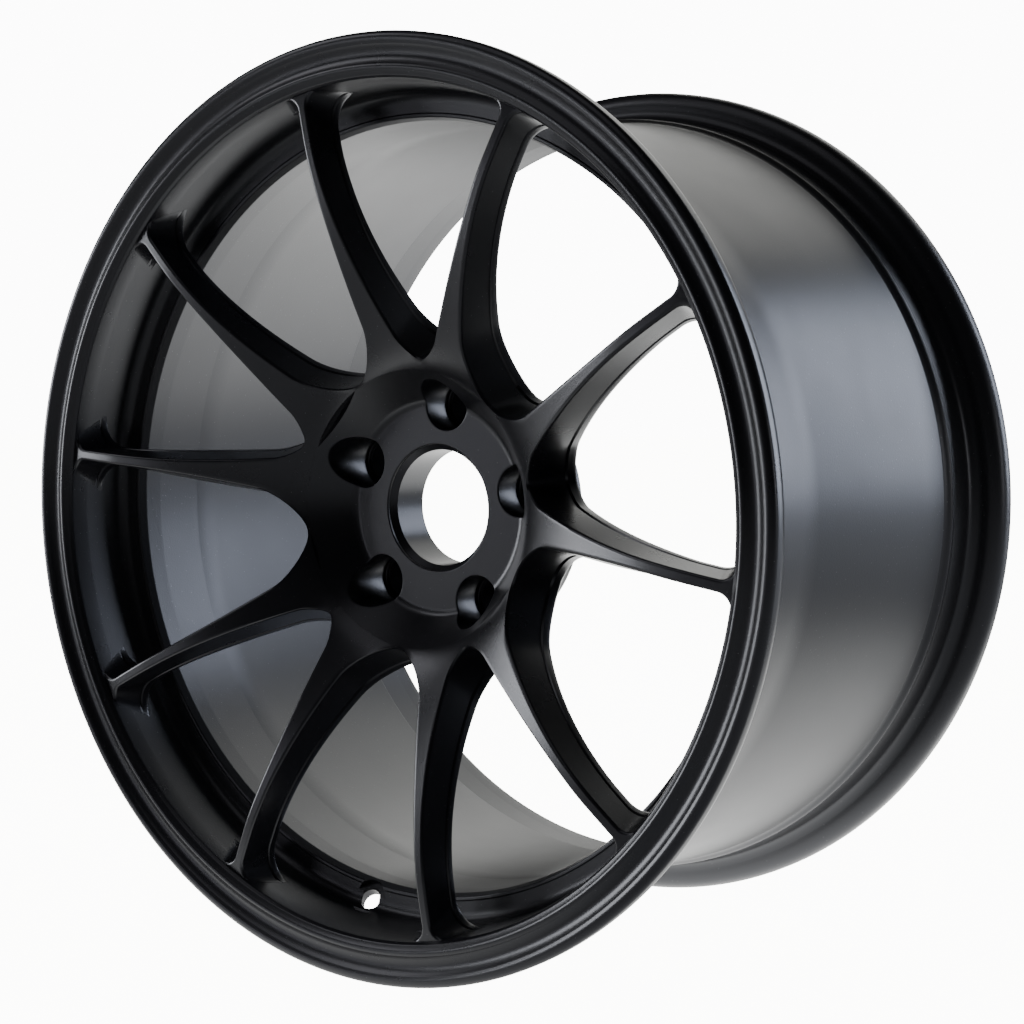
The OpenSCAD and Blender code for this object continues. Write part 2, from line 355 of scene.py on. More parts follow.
@dataclass
class Workshop:
    """Turns grids of points into pieces that ride on the wheel and stand for its nodes."""

    finishes: dict[Slot, Finish]
    coats: dict[Slot, bpy.types.Material] = field(default_factory=dict)

    def coat(self, slot: Slot) -> bpy.types.Material:
        """The material of a slot, made once.

        Args:
            slot: the slot.

        Returns:
            The material.
        """
        if slot not in self.coats:
            self.coats[slot] = self.finishes[slot].material()
        return self.coats[slot]

    def piece(self, name: str, points: np.ndarray, faces: np.ndarray, slot: Slot,
              caps: tuple[list[int], ...] = ()) -> bpy.types.Object:
        """Makes one closed piece and hides the node it stands for.

        Args:
            name: the node's name, which the piece's name repeats with an ending.
            points: array of shape (points, 3), in metres.
            faces: array of shape (quads, 4).
            slot: the finish.
            caps: outlines of points that close the piece's open ends.

        Returns:
            The new object, with its faces outward.
        """
        mesh = closed_mesh(name + "_form", points, faces, caps)
        shade(mesh)
        mesh.materials.append(self.coat(slot))
        made = bpy.data.objects.new(name + "_form", mesh)
        bpy.context.scene.collection.objects.link(made)
        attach(made, "root")
        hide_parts(name)
        log.info("%s: %d points, %d faces", name, len(mesh.vertices), len(mesh.polygons))
        return made

    def turned(self, name: str, profile: np.ndarray, slot: Slot, around: int = 360) -> bpy.types.Object:
        """Turns a closed profile about the spin axis: row k is the profile at k / around of a turn.

        Args:
            name: the node it stands for.
            profile: array of shape (points, 2) of radius and height, closed by its first point.
            slot: the finish.
            around: number of steps in the turn.

        Returns:
            The new object.
        """
        t = np.arange(around)[:, None] * 360.0 / around
        points = stand(profile[None, :, 0], t, profile[None, :, 1] + 0 * t).reshape(-1, 3)
        return self.piece(name, points, grid_faces(around, len(profile), True, True), slot)


@dataclass(frozen=True)
class RimSizes:
    """Sizes of the rim, which every other part is worked out from."""

    tip_r: float
    front_z: float
    rear_z: float
    flange_t: float = 16.0
    flange_h: float = 17.9
    flange_tip_r: float = 3.7
    flange_tip_turn: float = 128.0
    flange_land: float = 2.6
    curl_r: float = 9.5
    root_r: float = 6.5
    seat_w: float = 19.0
    seat_taper: float = 5.0
    seat_short: float = 1.3
    hump_h: float = 1.2
    hump_w: float = 5.0
    hump_run: float = 3.0
    well_depth: float = 17.0
    well_w: float = 34.0
    wall: float = 4.6
    barrel_drop: float = 2.6
    barrel_bend_r: float = 160.0
    barrel_bend_at: float = 9.0
    bore_wall: float = 5.0
    mouth_r: float = 7.0
    cove_w: float = 9.8
    cove_depth: float = 2.2
    cove_edge: float = 0.9
    lip_w: float = 4.1
    lip_drop: float = 2.6
    lip_crown: float = 1.0
    step_w: float = 3.4
    step_h: float = 4.1
    pocket_depth: float = 36.0
    draft: float = 2.6
    ledge_w: float = 12.0
    ledge_fillet: float = 6.0
    throat_step: float = 2.5
    slope_h: float = 15.3

    @property
    def front_face_z(self) -> float:
        """Height of the front bead face."""
        return self.front_z - self.flange_t

    @property
    def rear_face_z(self) -> float:
        """Height of the rear bead face."""
        return self.rear_z + self.flange_t

    @property
    def front_seat_z(self) -> float:
        """Height where the front bead seat ends, a little short of its full width."""
        return self.front_face_z - self.seat_w + self.seat_short

    @property
    def rear_seat_z(self) -> float:
        """Height where the rear bead seat ends."""
        return self.rear_face_z + self.seat_w

    @property
    def rear_hump_z(self) -> float:
        """Height where the rear hump has run out into the barrel."""
        return self.rear_seat_z + self.hump_w + self.hump_run

    @property
    def seat_r(self) -> float:
        """Radius of the bead seats at the flanges."""
        return self.tip_r - self.flange_h

    @property
    def seat_end_r(self) -> float:
        """Radius of a bead seat at its inner end."""
        return self.seat_r - self.seat_w * math.tan(math.radians(self.seat_taper))

    @property
    def front_seat_r(self) -> float:
        """Radius of the front bead seat where it ends."""
        return self.seat_r - (self.front_face_z - self.front_seat_z) * math.tan(math.radians(self.seat_taper))

    @property
    def well_r(self) -> float:
        """Outside radius of the well."""
        return self.seat_r - self.well_depth

    @property
    def barrel_end_r(self) -> float:
        """Outside radius of the barrel at the rear hump."""
        return self.seat_end_r - self.barrel_drop

    @property
    def bore_wall_r(self) -> float:
        """Inside radius of the rear bead seat."""
        return self.seat_r - self.bore_wall

    @property
    def cove_out_r(self) -> float:
        """Radius of the edge between flange and cove."""
        return self.tip_r - self.flange_tip_r - self.flange_land

    @property
    def cove_in_r(self) -> float:
        """Radius where the cove meets the lip ring."""
        return self.cove_out_r - self.cove_w

    @property
    def lip_in_r(self) -> float:
        """Inner radius of the lip ring's crown."""
        return self.cove_in_r - self.lip_w

    @property
    def spoke_end_r(self) -> float:
        """Radius where a spoke's face ends."""
        return self.lip_in_r - self.step_w

    @property
    def lip_z(self) -> float:
        """Height of the lip ring at the cove."""
        return self.front_z - self.lip_drop

    @property
    def spoke_face_z(self) -> float:
        """Height of a spoke's face where it ends."""
        return self.lip_z - self.step_h

    @property
    def ledge_z(self) -> float:
        """Height of the ledge between the spokes."""
        return self.spoke_face_z - self.pocket_depth

    @property
    def slope_end_z(self) -> float:
        """Height of the foot of the slope behind the front bead."""
        return self.ledge_z - self.slope_h

    @property
    def well_end_z(self) -> float:
        """Height where the well gives way to the barrel."""
        return self.slope_end_z - self.well_w

    def wall_r(self, h: Values) -> Values:
        """Radius of the pockets' outer wall at a height: it leans in toward the back."""
        return self.spoke_end_r - self.draft * (self.spoke_face_z - h) / self.pocket_depth


@dataclass(frozen=True)
class ValveHole:
    """The valve hole and its spot face, square to the slope behind the front bead.

    It is cut by a stepped plug. The plug's profile of radius and depth is turned about the
    hole's axis, which leans from the ledge outward and toward the rear. The middle of the spot
    face stands outside the ledge's inner edge by the inset, and over the ledge by the lift.
    """

    inset: float = 7.0
    lift: float = 1.0
    hole_r: float = 5.75
    spot_r: float = 10.0
    chamfer: float = 0.9
    headroom: float = 14.0
    reach: float = 26.0
    turn: float = TURN + 3.5 * PITCH
    around: int = 48

    def plug(self, r: float, h: float, slope: float) -> bpy.types.Object:
        """The plug that cuts the hole.

        Args:
            r: radius of the middle of the spot face.
            h: height of the middle of the spot face.
            slope: the slope's angle to the wheel's plane, in radians.

        Returns:
            A new object.
        """
        profile = np.array([
            [0, -self.headroom], [self.spot_r, -self.headroom], [self.spot_r, 0],
            [self.hole_r + self.chamfer, 0], [self.hole_r, self.chamfer],
            [self.hole_r, self.reach], [0, self.reach]])
        a = np.radians(np.arange(self.around) * 360 / self.around)[:, None]
        depth = profile[None, :, 1] + 0 * a
        sideways = profile[None, :, 0] * np.cos(a)
        along = profile[None, :, 0] * np.sin(a)
        radial = r + math.sin(slope) * depth + math.cos(slope) * sideways
        height = h - math.cos(slope) * depth + math.sin(slope) * sideways
        turn = math.radians(self.turn)
        points = np.stack([radial * math.cos(turn) - along * math.sin(turn), -height,
                           radial * math.sin(turn) + along * math.cos(turn)], -1).reshape(-1, 3) * MM
        points, faces = merged(points, grid_faces(self.around, len(profile), True, False)[:, ::-1])
        made = bpy.data.objects.new("valve_plug", closed_mesh("valve_plug", points, faces))
        bpy.context.scene.collection.objects.link(made)
        return made

    @staticmethod
    def cut(piece: bpy.types.Object, plug: bpy.types.Object) -> None:
        """Cuts the hole through a piece, and removes the plug.

        Args:
            piece: the drop centre.
            plug: the plug.
        """
        cut = piece.modifiers.new("valve_hole", "BOOLEAN")
        cut.operation = "DIFFERENCE"
        cut.solver = "EXACT"
        cut.object = plug
        graph = bpy.context.evaluated_depsgraph_get()
        done = bpy.data.meshes.new_from_object(piece.evaluated_get(graph))
        piece.modifiers.clear()
        piece.data = done
        shade(done)
        bpy.data.objects.remove(plug)


@dataclass
class Rim:
    """The rings of the rim: lip, flanges, bead seats, drop centre and barrel.

    Each ring is a profile of radius and height that is turned about the spin axis. A corner of
    a profile is (radius, height, round).
    """

    size: RimSizes
    shop: Workshop
    valve: ValveHole = ValveHole()

    def flange_curl(self) -> np.ndarray:
        """Outside of a flange: a quarter circle on the tyre's side, and a smaller round over the tip.

        Returns:
            An array of shape (points, 2) of radius and distance from the flange's bead face.
        """
        s = self.size
        return np.concatenate([
            arc(s.tip_r - s.curl_r, s.curl_r, s.curl_r, -90, 0),
            arc(s.tip_r - s.flange_tip_r, s.flange_t - s.flange_tip_r, s.flange_tip_r, 0, s.flange_tip_turn)])

    def front_flange(self) -> None:
        """The outer flange with the cove inside it, a shallow parabola between two edges."""
        s = self.size
        u = shares(16)
        ends = np.array([[s.cove_out_r, s.front_z - s.cove_edge], [s.cove_in_r, s.lip_z]])
        cove = lerp(ends[0], ends[1], u) - np.array([0, s.cove_depth]) * 4 * u * (1 - u)
        profile = np.concatenate([
            [[s.cove_in_r, s.front_face_z]], self.flange_curl() + [0, s.front_face_z], cove])
        self.shop.turned("front_flange", profile, Slot.FACE)

    def lip_ring(self) -> None:
        """The raised ring the spokes run out to: a parabola for its crown, then a step to them."""
        s = self.size
        u = shares(12)
        crown = lerp(np.array([s.cove_in_r, s.lip_z]), np.array([s.lip_in_r, s.lip_z]), u)
        crown = crown + np.array([0, s.lip_crown]) * 4 * u * (1 - u)
        step = rounded([
            (s.lip_in_r, s.lip_z, 0),
            (lerp(s.lip_in_r, s.spoke_end_r, 0.62), s.lip_z - 1.2, 1.6),
            (s.spoke_end_r + 0.2, s.lip_z - 3.0, 1.2),
            (s.spoke_end_r, s.spoke_face_z, 0)])
        foot = [[s.wall_r(s.front_face_z), s.front_face_z], [s.cove_in_r, s.front_face_z]]
        self.shop.turned("lip_ring", np.concatenate([foot, crown, step[1:]]), Slot.FACE)

    def front_bead_seat(self) -> None:
        """The outer bead seat, with the pockets' wall inside it."""
        s = self.size
        profile = np.concatenate([
            [[s.wall_r(s.front_seat_z), s.front_seat_z], [s.front_seat_r, s.front_seat_z]],
            arc(s.seat_r + s.root_r, s.front_face_z - s.root_r, s.root_r, 180, 90, 8),
            [[s.wall_r(s.front_face_z), s.front_face_z]]])
        self.shop.turned("front_bead_seat", profile, Slot.BARREL)

    def drop_centre(self) -> None:
        """Hump, slope and well outside, pocket wall, ledge and throat inside, and the valve hole."""
        s = self.size
        seat_z, foot_z = s.front_seat_z, s.slope_end_z
        hump_r = s.seat_end_r + s.hump_h
        ledge_in = s.wall_r(s.ledge_z) - s.ledge_w
        throat = ledge_in - s.throat_step
        inside = rounded([
            (s.wall_r(seat_z), seat_z, 0),
            (s.wall_r(s.ledge_z), s.ledge_z, s.ledge_fillet),
            (ledge_in + 1.2, s.ledge_z - 1.4, 0.8),  # a fine bead along the ledge's edge
            (ledge_in + 0.6, s.ledge_z - 1.0, 0.4),
            (ledge_in - 1.0, s.ledge_z - 1.3, 0.9),
            (throat, s.ledge_z - 6.0, 3.0),
            (throat, foot_z - 2, 40),
            (s.well_r - s.wall, s.well_end_z, 0)])
        outside = rounded([
            (s.well_r, s.well_end_z, 0),
            (s.well_r, foot_z + 4.5, 8),
            (hump_r - 1.6, seat_z - s.hump_w - 0.6, 3.0),
            (hump_r + 0.15, seat_z - s.hump_w * 0.55, 2.2),
            (s.front_seat_r, seat_z, 0)])
        piece = self.shop.turned("drop_centre", np.concatenate([inside, outside]), Slot.BARREL)
        rise = seat_z - s.hump_w - 1 - foot_z - 6  # the slope's straight part, between its bends
        run = hump_r - 2 - s.well_r - 1.5
        spot_r, spot_z = ledge_in + self.valve.inset, s.ledge_z + self.valve.lift
        self.valve.cut(piece, self.valve.plug(spot_r, spot_z, math.atan2(rise, run)))

    def barrel(self) -> None:
        """The spun barrel: a cone that leaves the well in a long soft bend."""
        s = self.size
        top, low = s.well_end_z, s.rear_hump_z
        bend = top - s.barrel_bend_at
        outer = [(s.well_r, top, 0), (s.well_r, bend, s.barrel_bend_r), (s.barrel_end_r, low, 0)]
        inner = [(r - s.wall, h, fillet) for r, h, fillet in reversed(outer)]
        self.shop.turned("barrel", np.concatenate([rounded(outer, 12), rounded(inner, 12)]), Slot.BARREL)

    def rear_hump(self) -> None:
        """The inner hump outside, a sine that leans toward the flange, and a small step inside."""
        s = self.size
        u = shares(20)
        bump = np.concatenate([
            lerp(s.barrel_end_r, s.seat_end_r, u) + s.hump_h * np.sin(np.pi * u ** 1.6) ** 1.3,
            lerp(s.rear_hump_z, s.rear_seat_z, u)], 1)
        inner = rounded([
            (s.bore_wall_r - 0.6, s.rear_seat_z, 0),
            (s.bore_wall_r - 1.6, s.rear_seat_z + 2.4, 1.2),
            (s.bore_wall_r - 3.4, s.rear_seat_z + 3.2, 0.8),
            (s.barrel_end_r - s.wall, s.rear_hump_z, 0)])
        self.shop.turned("rear_hump", np.concatenate([bump, inner]), Slot.BARREL)

    def rear_bead_seat(self) -> None:
        """The inner bead seat."""
        s = self.size
        profile = np.concatenate([
            [[s.bore_wall_r - 0.6, s.rear_seat_z], [s.seat_end_r, s.rear_seat_z]],
            arc(s.seat_r + s.root_r, s.rear_face_z + s.root_r, s.root_r, 180, 270, 8),
            [[s.bore_wall_r, s.rear_face_z]]])
        self.shop.turned("rear_bead_seat", profile, Slot.BARREL)

    def rear_flange(self) -> None:
        """The inner flange, with a rounded mouth to the barrel."""
        s = self.size
        curl = self.flange_curl()[:-6]
        profile = np.concatenate([
            [[s.bore_wall_r, s.rear_face_z]],
            np.stack([curl[:, 0], s.rear_face_z - curl[:, 1]], -1),
            arc(s.bore_wall_r + s.mouth_r, s.rear_z + s.mouth_r, s.mouth_r, 270, 180, 10)])
        self.shop.turned("rear_flange", profile, Slot.BARREL)

    def build(self) -> None:
        """Makes every ring."""
        self.lip_ring()
        self.front_flange()
        self.front_bead_seat()
        self.drop_centre()
        self.barrel()
        self.rear_hump()
        self.rear_bead_seat()
        self.rear_flange()


@dataclass
class Hub:
    """The hub: its centre ring, and the disc round it with the nut pockets."""

    shop: Workshop
    bore_r: float = 32.05
    cap_r: float = 35.1
    cap_depth: float = 4.8
    bore_chamfer: float = 5.5
    thickness: float = 32.7
    centre_r: float = 40.15
    pad_r: float = 76.0
    face_r: float = 55.8
    dish_fillet: float = 6.0
    dish_slope: float = 51.0
    stud_circle_r: float = 57.15
    stud_r: float = 7.3
    stud_chamfer: float = 0.6
    nut_r: float = 14.0
    nut_lip: float = 0.7
    seat_t: float = 13.4
    cone_r: float = 11.5
    cone_end_z: float = 6.13
    chamfer: float = 2.0
    side_points: int = 40
    face_steps: int = 29
    back_steps: int = 15

    def dish_z(self, r: Values) -> np.ndarray:
        """Height of the hub's face: flat, then a round, then a steep straight wall.

        Args:
            r: radii.

        Returns:
            Heights.
        """
        x = np.asarray(r) - self.face_r
        slope = math.radians(self.dish_slope)
        bend = self.dish_fillet * math.sin(slope)
        low = self.dish_fillet - np.sqrt(np.maximum(self.dish_fillet ** 2 - np.clip(x, 0, bend) ** 2, 0))
        return self.thickness + low + np.maximum(x - bend, 0) * math.tan(slope)

    def pad_z(self, r: Values) -> np.ndarray:
        """Height of the hub's back at radius r: flat, with a chamfer at the edge."""
        return np.maximum(np.asarray(r) - (self.pad_r - self.chamfer), 0)

    def centre(self) -> None:
        """The ring round the bore, with the cap recess in front and a wide chamfer behind."""
        floor = self.thickness - self.cap_depth
        profile = rounded([
            (self.bore_r, self.bore_chamfer, 0),
            (self.bore_r + self.bore_chamfer, 0, 0.4),
            (self.centre_r, 0, 0),
            (self.centre_r, self.thickness, 0),
            (self.cap_r, self.thickness, 0.7),
            (self.cap_r, floor + self.cap_r - self.bore_r, 0.3),
            (self.bore_r, floor, 0.5),
            (self.bore_r, lerp(self.bore_chamfer, floor, 0.5), 0)])
        self.shop.turned("hub_centre", profile, Slot.HUB, 240)

    def sector_edge(self) -> tuple[np.ndarray, np.ndarray]:
        """Outline of one pocket's sector, with as many points on each of its four sides: the
        outer arc, a radial line, the inner arc and the other radial line.

        Returns:
            Radii, and angles from the pocket's middle.
        """
        u = np.arange(self.side_points) / self.side_points
        half, low, high = PITCH / 2, self.centre_r, self.pad_r
        flat = np.ones(self.side_points)
        r = np.concatenate([flat * high, lerp(high, low, u), flat * low, lerp(low, high, u)])
        t = np.concatenate([lerp(-half, half, u), flat * half, lerp(half, -half, u), -flat * half])
        return r, t

    def circle(self, radius: float, toward: np.ndarray) -> tuple[np.ndarray, np.ndarray]:
        """A circle round the stud.

        Args:
            radius: the circle's radius.
            toward: directions from the stud's axis, in radians.

        Returns:
            Radii and angles in the wheel.
        """
        x = self.stud_circle_r + radius * np.cos(toward)
        y = radius * np.sin(toward)
        return np.hypot(x, y), np.degrees(np.arctan2(y, x))

    def sector(self) -> tuple[np.ndarray, np.ndarray, np.ndarray]:
        """The lines of one sector.

        They run from the sector's outline over the face to the rim of the pocket, round its lip
        by a quarter circle, down its wall, over the nut seat, through the stud hole and over the
        back to the outline again.

        Returns:
            Radii, angles from the pocket's middle and heights, each of shape (lines, points).
        """
        edge_r, edge_t = self.sector_edge()
        toward = np.arctan2(np.radians(edge_t) * self.stud_circle_r, edge_r - self.stud_circle_r)
        lip = self.nut_lip
        rows = []
        r0, t0 = self.circle(self.nut_r + lip, toward)
        for u in np.linspace(0, 1, self.face_steps + 1):
            r, t = lerp(edge_r, r0, u), lerp(edge_t, t0, u)
            rows.append((r, t, self.dish_z(r)))
        for a in np.radians([22.5, 45, 67.5, 90]):
            r, t = self.circle(self.nut_r + lip * (1 - math.sin(a)), toward)
            rows.append((r, t, self.dish_z(r) - lip * (1 - math.cos(a))))
        r, t = self.circle(self.nut_r, toward)
        rows.append((r, t, self.dish_z(r) - 1.3 * lip))
        down = rounded([
            (self.nut_r, self.seat_t + 4, 0),
            (self.nut_r, self.seat_t, 1.0),
            (self.cone_r, self.seat_t, 0.3),
            (self.stud_r, self.cone_end_z, 0.3),
            (self.stud_r, self.stud_chamfer, 0),
            (self.stud_r + self.stud_chamfer, 0, 0)])
        for radius, z in down:
            r, t = self.circle(radius, toward)
            rows.append((r, t, z + 0 * r))
        rb, tb = self.circle(self.stud_r + self.stud_chamfer, toward)
        for u in np.linspace(0, 1, self.back_steps + 1)[1:]:
            r, t = lerp(rb, edge_r, u), lerp(tb, edge_t, u)
            rows.append((r, t, self.pad_z(r)))
        r, t, h = (np.stack([row[k] for row in rows]) for k in range(3))
        return r, t, h

    def disc(self) -> None:
        """The disc: one sector for each pocket, closed along its outer and its inner arc, where
        its last line meets its first."""
        r, t, h = self.sector()
        rows, columns = r.shape
        j = np.arange(columns)
        side = j // self.side_points
        j = j[(side == 0) | (side == 2)]
        last = (rows - 1) * columns
        close = np.stack([last + j, j, (j + 1) % columns, last + (j + 1) % columns], -1)
        faces = np.concatenate([grid_faces(rows, columns, False, True), close])
        points = np.concatenate([
            stand(r, t + TURN + k * PITCH, h).reshape(-1, 3) for k in range(PAIRS)])
        faces = np.concatenate([faces + k * r.size for k in range(PAIRS)])
        self.shop.piece("hub_disc", *merged(points, faces), Slot.HUB)

    def build(self) -> None:
        """Makes both parts of the hub."""
        self.centre()
        self.disc()


@dataclass(frozen=True)
class Width:
    """How wide a spoke is at one level: it narrows from root to waist over a share of its
    length, by a power of what is left of that share, and a quarter circle flares it at the rim."""

    waist: float
    root: float
    share: float
    power: float
    flare: float


@dataclass(frozen=True)
class Nose:
    """The round end of a window: how far it starts beyond the hub, and how long it is."""

    start: float
    length: float


WIDTHS = {
    Level.FACE: Width(waist=5.8, root=25.0, share=0.7, power=1.95, flare=8.0),
    Level.BACK: Width(waist=11.2, root=33.6, share=0.8, power=1.2, flare=18.0),
}
NOSES = {
    (Window.WIDE, Level.FACE): Nose(start=1.2, length=24.0),
    (Window.WIDE, Level.BACK): Nose(start=12.0, length=26.0),
    (Window.NARROW, Level.FACE): Nose(start=6.0, length=12.0),
    (Window.NARROW, Level.BACK): Nose(start=20.0, length=16.0),
}


@dataclass
class Spokes:
    """Ten spokes in five pairs, which mirror each other."""

    rim: RimSizes
    hub: Hub
    shop: Workshop
    depth: float = 21.0
    lean: float = 10.1
    crest: float = 1.1
    crest_share: float = 0.8
    fall_share: float = 0.2
    climb: float = 0.93
    climb_power: float = 1.7
    dip: float = 0.07
    dip_share: float = 0.04
    root_back_z: float = 13.0
    back_power: float = 2.2
    edge: float = 1.3
    edge_share: float = 0.055
    groove: float = 0.9
    land: float = 0.1
    into_rim: float = 0.25
    nose_steps: int = 16
    side_steps: int = 40
    flare_steps: int = 14
    root_steps: int = 6
    across_steps: int = 12

    @property
    def back_end_z(self) -> float:
        """Height of a spoke's back where it ends."""
        return self.rim.spoke_face_z - self.depth

    def share(self, r: Values) -> np.ndarray:
        """Share of the way from spoke root to rim."""
        return np.maximum((r - self.hub.pad_r) / (self.rim.spoke_end_r - self.hub.pad_r), 0)

    def face_z(self, r: Values) -> np.ndarray:
        """Height of the spokes' faces: steep out of the dish, a crest near the rim, a small fall.

        The climb is one minus a power of what is left of the way to the crest, with a dip at
        the root that fades as an exponential. The fall is a square.

        Args:
            r: radii.

        Returns:
            Heights.
        """
        t = self.share(r)
        s = np.maximum(1 - t / self.crest_share, 0)
        fall = np.maximum(t - self.crest_share, 0) / self.fall_share
        start, top = float(self.hub.dish_z(self.hub.pad_r)), self.rim.spoke_face_z + self.crest
        rise = 1 - self.climb * s ** self.climb_power - self.dip * np.exp(-t / self.dip_share)
        return lerp(start, top, rise) - self.crest * fall ** 2

    def back_z(self, r: Values) -> np.ndarray:
        """Height of the spokes' backs: a slow rise by a power, level over the last fifth."""
        s = np.maximum(1 - self.share(r) / self.crest_share, 0)
        return lerp(self.root_back_z, self.back_end_z, 1 - s ** self.back_power)

    def half_width(self, r: np.ndarray, level: Level) -> np.ndarray:
        """Half the width of a spoke at radius r, before its flare."""
        w = WIDTHS[level]
        return lerp(w.waist, w.root, np.maximum(1 - self.share(r) / w.share, 0) ** w.power) / 2

    def centre_angle(self, r: np.ndarray) -> np.ndarray:
        """Angle of a spoke's centre line, a straight line that passes beside the axis."""
        return PITCH / 4 + np.degrees(np.arcsin(self.lean / self.rim.spoke_end_r) - np.arcsin(self.lean / r))

    def window_half(self, r: np.ndarray, window: Window, level: Level) -> np.ndarray:
        """Half the angle of a window: from its middle to the spoke's centre line, less the spoke.

        Args:
            r: radii.
            window: which of the two windows.
            level: at the spokes' faces or at their backs.

        Returns:
            Angles in degrees.
        """
        spoke = np.degrees(np.arcsin(self.half_width(r, level) / r))
        centre = self.centre_angle(r)
        middle = PITCH / 2 - centre if window is Window.WIDE else centre
        return middle - spoke

    def outline(self, window: Window, level: Level) -> tuple[np.ndarray, np.ndarray]:
        """Half the outline of a window, from the tip of its nose to the rim.

        The nose is a quarter turn in which the radius grows as one minus a cosine and the angle
        as a sine of the window's own half angle. Then the spoke's edge runs straight, and a
        quarter circle flares it into the rim.

        Args:
            window: which of the two windows.
            level: at the spokes' faces or at their backs.

        Returns:
            Radii, and angles from the window's middle.
        """
        nose, flare = NOSES[window, level], WIDTHS[level].flare
        tip = self.hub.pad_r + nose.start
        rim = self.rim.spoke_end_r
        if level is Level.BACK:
            rim = self.rim.wall_r(self.back_end_z)
        a = np.radians(np.linspace(0, 90, self.nose_steps + 1))
        r_nose = tip + nose.length * (1 - np.cos(a))
        t_nose = self.window_half(r_nose, window, level) * np.sin(a)
        r_side = np.linspace(tip + nose.length, rim - flare, self.side_steps + 1)[1:]
        t_side = self.window_half(r_side, window, level)
        b = np.radians(np.linspace(0, 90, self.flare_steps + 1))[1:]
        r_flare = rim - flare + flare * np.sin(b)
        t_flare = self.window_half(r_flare, window, level) - np.degrees(flare * (1 - np.cos(b)) / r_flare)
        return np.concatenate([r_nose, r_side, r_flare]), np.concatenate([t_nose, t_side, t_flare])

    @staticmethod
    def into_window(p: np.ndarray) -> np.ndarray:
        """Unit vectors across an outline, toward the middle of its window, in its own plane.

        Args:
            p: the outline's points, of shape (points, 2), from the nose on.

        Returns:
            An array of the same shape.
        """
        along = np.gradient(p, axis=0)
        along[0] = (0, 1)
        along /= np.linalg.norm(along, axis=-1, keepdims=True)
        return np.stack([along[:, 1], -along[:, 0]], -1)

    def side_profile(self) -> np.ndarray:
        """Section of a spoke's side: a small round, a long flat, a groove near the back, a
        narrow land and another round.

        Returns:
            An array of shape (points, 2) of share of the spoke's depth and offset to the window.
        """
        e, part = self.edge, self.edge_share
        quarter = np.radians([0, 30, 60, 90])
        top = [(part * (1 - math.cos(a)), e * (math.sin(a) - 1)) for a in quarter]
        flat = [(share, 0.0) for share in (0.075, 0.2, 0.4, 0.6, 0.74)]
        low = [(0.765, -self.groove), (0.79, -self.groove), (0.815, self.land), (0.9, self.land)]
        bottom = [(1 - part * (1 - math.sin(a)), e * (math.cos(a) - 1)) for a in quarter]
        return np.array(top + flat + low + bottom)

    def side(self, window: Window) -> tuple[np.ndarray, np.ndarray, np.ndarray]:
        """One side of a spoke, from its root to the rim and from its face to its back.

        Straight lines run from the face's outline to the back's, and the section's offsets are
        added to them. A few stations before the nose lead back to the hub.

        Args:
            window: the window that the side looks to.

        Returns:
            Radii, angles from the window's middle and heights, each of shape
            (stations, points of the section).
        """
        section = self.side_profile()
        share, offset = section[:, 0], section[None, :, 1, None]
        rf, tf = self.outline(window, Level.FACE)
        rb, tb = self.outline(window, Level.BACK)
        front = np.stack([rf * np.cos(np.radians(tf)), rf * np.sin(np.radians(tf))], -1)
        back = np.stack([rb * np.cos(np.radians(tb)), rb * np.sin(np.radians(tb))], -1)
        s = share[None, :, None]
        across = lerp(self.into_window(front)[:, None], self.into_window(back)[:, None], s)
        p = lerp(front[:, None], back[:, None], s) + across * offset
        r = np.hypot(p[..., 0], p[..., 1])
        t = np.degrees(np.arctan2(p[..., 1], p[..., 0]))
        h = lerp(self.face_z(rf)[:, None], self.back_z(rb)[:, None], share)
        h[:, 0] = self.face_z(r[:, 0])
        h[:, -1] = self.back_z(r[:, -1])
        r = np.minimum(r, self.rim.wall_r(h) + self.into_rim)
        u = (np.arange(self.root_steps) / self.root_steps)[:, None]
        pad = self.hub.pad_r
        r_in = lerp(pad, r[:1], u)
        h_in = lerp(lerp(float(self.face_z(pad)), self.root_back_z, share[None]), h[:1], u)
        h_in[:, 0] = self.face_z(r_in[:, 0])
        h_in[:, -1] = self.back_z(r_in[:, -1])
        return np.concatenate([r_in, r]), np.concatenate([0 * r_in, t]), np.concatenate([h_in, h])

    def spoke(self) -> tuple[np.ndarray, np.ndarray, np.ndarray]:
        """The rings of points round a spoke, station by station from root to rim.

        The face is spread between the two sides' front edges and the back between their back
        edges: radius and angle go in a straight line from one edge to the other, and the height
        follows from the radius.

        Returns:
            Radii, angles from the middle of the pair and heights.
        """
        rn, tn, hn = self.side(Window.NARROW)
        rw, tw, hw = self.side(Window.WIDE)
        tw = PITCH / 2 - tw
        v = np.linspace(0, 1, self.across_steps + 1)[None, 1:-1]
        r_face, t_face = lerp(rn[:, :1], rw[:, :1], v), lerp(tn[:, :1], tw[:, :1], v)
        r_back, t_back = lerp(rw[:, -1:], rn[:, -1:], v), lerp(tw[:, -1:], tn[:, -1:], v)
        r = np.concatenate([rn[:, :1], r_face, rw, r_back, rn[:, :0:-1]], 1)
        t = np.concatenate([tn[:, :1], t_face, tw, t_back, tn[:, :0:-1]], 1)
        h = np.concatenate([hn[:, :1], self.face_z(r_face), hw, self.back_z(r_back), hn[:, :0:-1]], 1)
        return r, t, h

